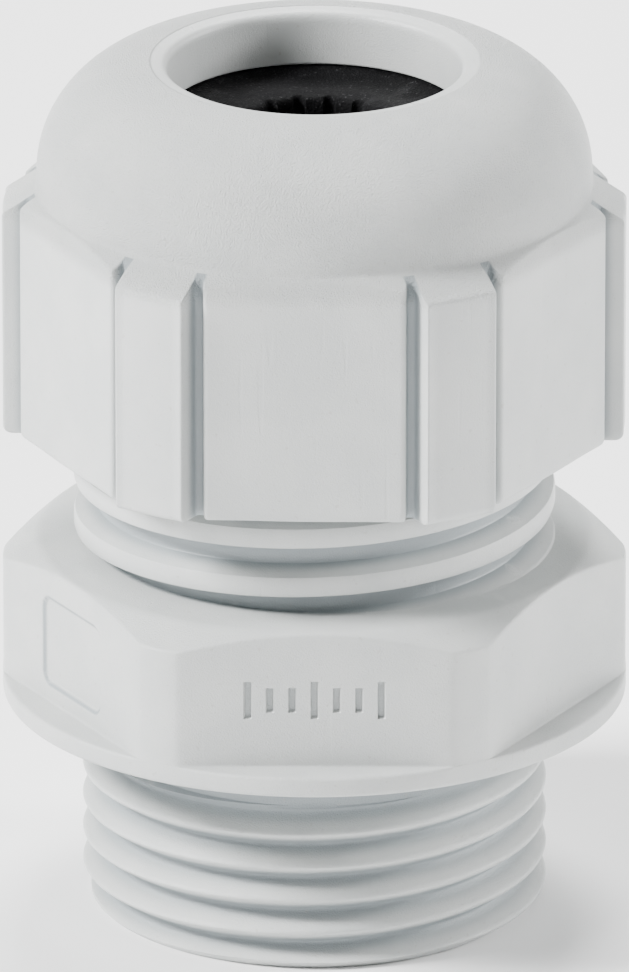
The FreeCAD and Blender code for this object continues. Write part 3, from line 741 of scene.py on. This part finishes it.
# Light grey polyamide. Masks come from the height and the distance to the axis: the dome carries the mould's
# grain, the lip and the bore are polished, the threads and flats are satin. Grooves, thread roots and the
# ticks get a painted shade colour from the mesh's painted-shade attribute. Spans are in millimetres from the
# place they are named after.
polyamide = {
    "colour": (0.57, 0.585, 0.575, 1.0),
    "shade": (0.52, 0.54, 0.535, 1.0),
    # painted shade: a blue-grey that darkens grooves, thread roots, the ticks and the panel's wall
    "root": (0.29, 0.325, 0.34, 1.0),
    "worn": (0.64, 0.65, 0.64, 1.0),
    "dust": (0.36, 0.34, 0.31, 1.0),
    "rootShadeSpan": (0.25, 1.0),         # painted-shade values that go from the plain colour to the painted shade's colour
    "wornAmount": 0.4,
    "dustAmount": 0.3,
    "satin": 0.34,
    "matt": 0.37,
    "polished": 0.3,
    "innerPolish": 0.35,
    "glint": 0.3,
    "blotchRough": 0.06,
    "wornSmooth": 0.1,
    "ribTopSpan": (-0.6, 0.4),
    "lipSpan": (-0.06, 0.03),
    "hexTopSpan": (-0.5, 0.2),
    "boreSpan": (0.2, 0.6),
    "grainScale": 14000.0,
    "grainHeight": 0.00015,
    "grainStrength": 0.8,
    "everywhereGrain": 0.14,
    "hexGrain": 0.12,
    "scratchDepth": 0.06,
    "subsurface": 0.03,
    "subsurfaceRadius": (0.0003, 0.0003, 0.0003),
    "ior": 1.53,
}

def spanFrom(place, span):
    return [(place + step) * mm for step in span]

# The fingers have no painted-shade values, which then read as 0, so they get no painted shade.
def polyamideMaterial(name, grained):
    material, tree, shader = newMaterial(name)
    place = addNode(tree, "TexCoord").outputs["Object"]
    x, y, z = addNode(tree, "SeparateXYZ", {"Vector": place}).outputs
    axisDistance = calc(tree, "SQRT", calc(tree, "ADD", calc(tree, "MULTIPLY", x, x),
                                           calc(tree, "MULTIPLY", y, y)))
    grain = placeGroup(tree, "grain", Position=place, Scale=polyamide["grainScale"])
    dust = placeGroup(tree, "dust", Position=place)
    wear = placeGroup(tree, "wear", Position=place)
    scratches = placeGroup(tree, "scratches", Position=place)

    # painted shade: where the mesh's painted-shade amount is high, the colour turns to the blue-grey root
    # colour
    hollowShade = addNode(tree, "Attribute", attribute_name="hollowShade").outputs["Fac"]
    colour = mixColour(tree, dust["Blotches"], polyamide["colour"], polyamide["shade"])
    for amount, other in ((ramp(tree, hollowShade, *polyamide["rootShadeSpan"]), "root"),
                          (calc(tree, "MULTIPLY", wear["Mask"], polyamide["wornAmount"]), "worn"),
                          (calc(tree, "MULTIPLY", dust["Specks"], polyamide["dustAmount"]), "dust")):
        colour = mixColour(tree, amount, colour, polyamide[other])
    tree.links.new(colour, shader.inputs["Base Color"])

    if grained:
        dome = ramp(tree, z, *spanFrom(nut["ribTop"], polyamide["ribTopSpan"]))
        lip = ramp(tree, axisDistance, *spanFrom(nut["lipOuter"], polyamide["lipSpan"]))
        grainMask = calc(tree, "MULTIPLY", dome, lip)
        polish = calc(tree, "MULTIPLY", dome, calc(tree, "SUBTRACT", 1.0, lip))
    else:
        grainMask = ramp(tree, z, *spanFrom(body["hexTop"], polyamide["hexTopSpan"]),
                         polyamide["hexGrain"], 0.0)
        polish = ramp(tree, axisDistance, *spanFrom(body["bore"], polyamide["boreSpan"]),
                      polyamide["innerPolish"], 0.0)
    rough = ramp(tree, grainMask, 0.0, 1.0, polyamide["satin"], polyamide["matt"])
    for mask, amount in ((calc(tree, "MULTIPLY", grain["Speck"], grainMask), -polyamide["glint"]),
                         (polish, polyamide["polished"] - polyamide["satin"]),
                         (dust["Blotches"], polyamide["blotchRough"]),
                         (wear["Mask"], -polyamide["wornSmooth"])):
        rough = calc(tree, "MULTIPLY_ADD", mask, amount, rough, clamp=True)
    tree.links.new(rough, shader.inputs["Roughness"])

    spread = calc(tree, "MULTIPLY_ADD", grainMask, 1 - polyamide["everywhereGrain"],
                  polyamide["everywhereGrain"])
    height = calc(tree, "MULTIPLY", grain["Height"], spread)
    height = calc(tree, "MULTIPLY_ADD", scratches["Lines"], -polyamide["scratchDepth"], height)
    bump = addNode(tree, "Bump", {"Height": height, "Strength": polyamide["grainStrength"],
                                  "Distance": polyamide["grainHeight"]})
    tree.links.new(bump.outputs["Normal"], shader.inputs["Normal"])
    shader.inputs["Subsurface Weight"].default_value = polyamide["subsurface"]
    shader.inputs["Subsurface Radius"].default_value = polyamide["subsurfaceRadius"]
    shader.inputs["Subsurface Scale"].default_value = 1.0
    shader.inputs["IOR"].default_value = polyamide["ior"]
    return material

# Matt black rubber with fine grey specks and soft blotches, a little greyer at worn edges.
rubber = {
    "colour": (0.0022, 0.0022, 0.0025, 1.0),
    "worn": (0.005, 0.005, 0.0055, 1.0),
    "speck": (0.075, 0.075, 0.078, 1.0),
    "speckAmount": 0.55,
    "wornAmount": 0.1,
    "dustScale": 700.0,
    "roughness": (0.5, 0.72),
    "speckSmooth": 0.15,
    "shine": 0.06,
    "grainScale": 8000.0,
    "grainHeight": 0.00012,
    "grainStrength": 0.6,
}

def rubberMaterial():
    material, tree, shader = newMaterial("sealRubber")
    place = addNode(tree, "TexCoord").outputs["Object"]
    grain = placeGroup(tree, "grain", Position=place, Scale=rubber["grainScale"])
    dust = placeGroup(tree, "dust", Position=place, Scale=rubber["dustScale"])
    wear = placeGroup(tree, "wear", Position=place)
    colour = mixColour(tree, dust["Blotches"], rubber["colour"], rubber["worn"])
    for mask, amount in ((grain["Speck"], rubber["speckAmount"]), (wear["Mask"], rubber["wornAmount"])):
        colour = mixColour(tree, calc(tree, "MULTIPLY", mask, amount), colour, rubber["speck"])
    tree.links.new(colour, shader.inputs["Base Color"])
    rough = ramp(tree, dust["Blotches"], 0.0, 1.0, *rubber["roughness"])
    rough = calc(tree, "MULTIPLY_ADD", grain["Speck"], -rubber["speckSmooth"], rough)
    tree.links.new(rough, shader.inputs["Roughness"])
    bump = addNode(tree, "Bump", {"Height": grain["Height"], "Strength": rubber["grainStrength"],
                                  "Distance": rubber["grainHeight"]})
    tree.links.new(bump.outputs["Normal"], shader.inputs["Normal"])
    shader.inputs["Specular IOR Level"].default_value = rubber["shine"]
    return material

bodyMaterial = polyamideMaterial("bodyPolyamide", False)
nutMaterial = polyamideMaterial("nutPolyamide", True)
sealMaterial = rubberMaterial()
print("materials made")

# The piece takes the place of one node of the same material.
def dress(piece, material, node):
    piece.data.materials.append(material)
    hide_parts(node)
    return piece

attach(dress(glandBody(), bodyMaterial, "gland_body"), "gland_body")
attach(dress(capNut(), nutMaterial, "cap_nut"), "cap_nut")
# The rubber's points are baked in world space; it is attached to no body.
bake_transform(dress(sealInsert(), sealMaterial, "seal_insert"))
for name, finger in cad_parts.items():
    if name.startswith("lamella"):
        finger.data.materials.clear()
        finger.data.materials.append(bodyMaterial)
print("pieces ready")

# Plain pale floor and soft studio light, in metres
studio = {
    "floorHalf": 2.0,
    "floorColour": (0.95, 0.95, 0.95, 1.0),
    "floorRoughness": 0.9,
    "worldColour": (1.0, 1.0, 1.0, 1.0),
    "world": 0.1,
    "lights": [
        # name, place, size, watts
        ("left", (-0.50, -0.12, 0.42), 0.16, 12.5),
        ("right", (0.50, 0.06, 0.20), 0.14, 3.6),
        ("back", (0.05, 0.34, 0.58), 0.24, 6.0),
        ("top", (-0.10, -0.16, 0.70), 0.12, 0.8),
        ("low", (-0.16, -0.60, 0.10), 0.08, 0.3),
    ],
}

def studioFloor():
    half = studio["floorHalf"]
    mesh = bpy.data.meshes.new("floor")
    mesh.from_pydata([(-half, -half, 0), (half, -half, 0), (half, half, 0), (-half, half, 0)], [],
                     [(0, 1, 2, 3)])
    floor = bpy.data.objects.new("floor", mesh)
    bpy.context.scene.collection.objects.link(floor)
    material, _, shader = newMaterial("paleFloor")
    shader.inputs["Base Color"].default_value = studio["floorColour"]
    shader.inputs["Roughness"].default_value = studio["floorRoughness"]
    mesh.materials.append(material)

def studioLights():
    world = bpy.data.worlds.new("studio")
    world.use_nodes = True
    background = world.node_tree.nodes["Background"]
    background.inputs["Color"].default_value = studio["worldColour"]
    background.inputs["Strength"].default_value = studio["world"]
    bpy.context.scene.world = world
    for name, place, size, power in studio["lights"]:
        data = bpy.data.lights.new(name, "AREA")
        data.size = size
        data.energy = power
        light = bpy.data.objects.new(name, data)
        light.location = place
        light.rotation_euler = (Vector(camera["aim"]) - Vector(place)).to_track_quat("-Z", "Y").to_euler()
        bpy.context.scene.collection.objects.link(light)

studioFloor()
studioLights()
print("studio ready")
